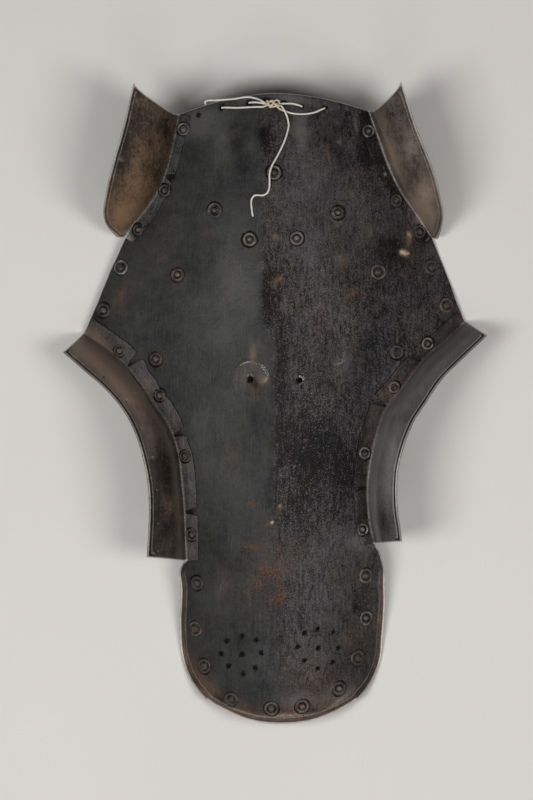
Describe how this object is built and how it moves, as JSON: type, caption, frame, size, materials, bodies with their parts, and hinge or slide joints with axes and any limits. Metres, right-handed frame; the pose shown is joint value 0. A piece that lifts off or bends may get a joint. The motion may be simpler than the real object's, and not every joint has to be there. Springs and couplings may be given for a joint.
{
  "type": "horse head armour",
  "caption": "Chanfron of riveted sheet iron: a vaulted, keeled face plate with flared ear and eye guards, pierced nostril rosettes, and a knotted lacing string at the crest.",
  "frame": {"origin": "centre of the footprint of the iron pieces, on the surface it lies on", "axes": "+Y along the face from the nose end towards the crest, +Z out of the horse's face, +X to the right of someone who looks at the face"},
  "size_m": [0.4026, 0.6096, 0.0842],
  "materials": {
    "plate_iron": "blackened wrought iron sheet, hammered and planished, with brown speckling, rust patches and bright worn edges",
    "guard_iron": "the same sheet iron, browner and rustier, with bright worn rims",
    "rivet_iron": "iron rivets and dished washers, brown in the hollows and worn bright on the heads",
    "twine": "off-white waxed twisted linen twine, slightly yellowed at the knot"
  },
  "bodies": {
    "root": {"face_plate": "plate_iron", "ear_guard_left": "guard_iron", "ear_guard_right": "guard_iron", "eye_guard_left": "guard_iron", "eye_guard_right": "guard_iron", "rivet_ear_left_1": "rivet_iron", "rivet_ear_left_2": "rivet_iron", "rivet_ear_left_3": "rivet_iron", "rivet_ear_right_1": "rivet_iron", "rivet_ear_right_2": "rivet_iron", "rivet_ear_right_3": "rivet_iron", "rivet_temple_left_1": "rivet_iron", "rivet_temple_left_2": "rivet_iron", "rivet_temple_right_1": "rivet_iron", "rivet_temple_right_2": "rivet_iron", "rivet_forehead_1": "rivet_iron", "rivet_forehead_2": "rivet_iron", "rivet_forehead_3": "rivet_iron", "rivet_forehead_4": "rivet_iron", "rivet_forehead_5": "rivet_iron", "rivet_forehead_6": "rivet_iron", "rivet_forehead_7": "rivet_iron", "rivet_cheek_left_1": "rivet_iron", "rivet_cheek_right_1": "rivet_iron", "rivet_eye_left_1": "rivet_iron", "rivet_eye_left_2": "rivet_iron", "rivet_eye_left_3": "rivet_iron", "rivet_eye_left_4": "rivet_iron", "rivet_eye_right_1": "rivet_iron", "rivet_eye_right_2": "rivet_iron", "rivet_eye_right_3": "rivet_iron", "rivet_eye_right_4": "rivet_iron", "rivet_nose_1": "rivet_iron", "rivet_nose_2": "rivet_iron", "rivet_nose_3": "rivet_iron", "rivet_nose_4": "rivet_iron", "rivet_nose_5": "rivet_iron", "rivet_nose_6": "rivet_iron", "rivet_nose_7": "rivet_iron", "rivet_nose_8": "rivet_iron", "rivet_nose_9": "rivet_iron", "rivet_nose_10": "rivet_iron", "string_knot": "twine", "string_loop_wide": "twine", "string_loop_narrow": "twine", "string_end_back": "twine", "string_tail": "twine"}
  },
  "joints": []
}
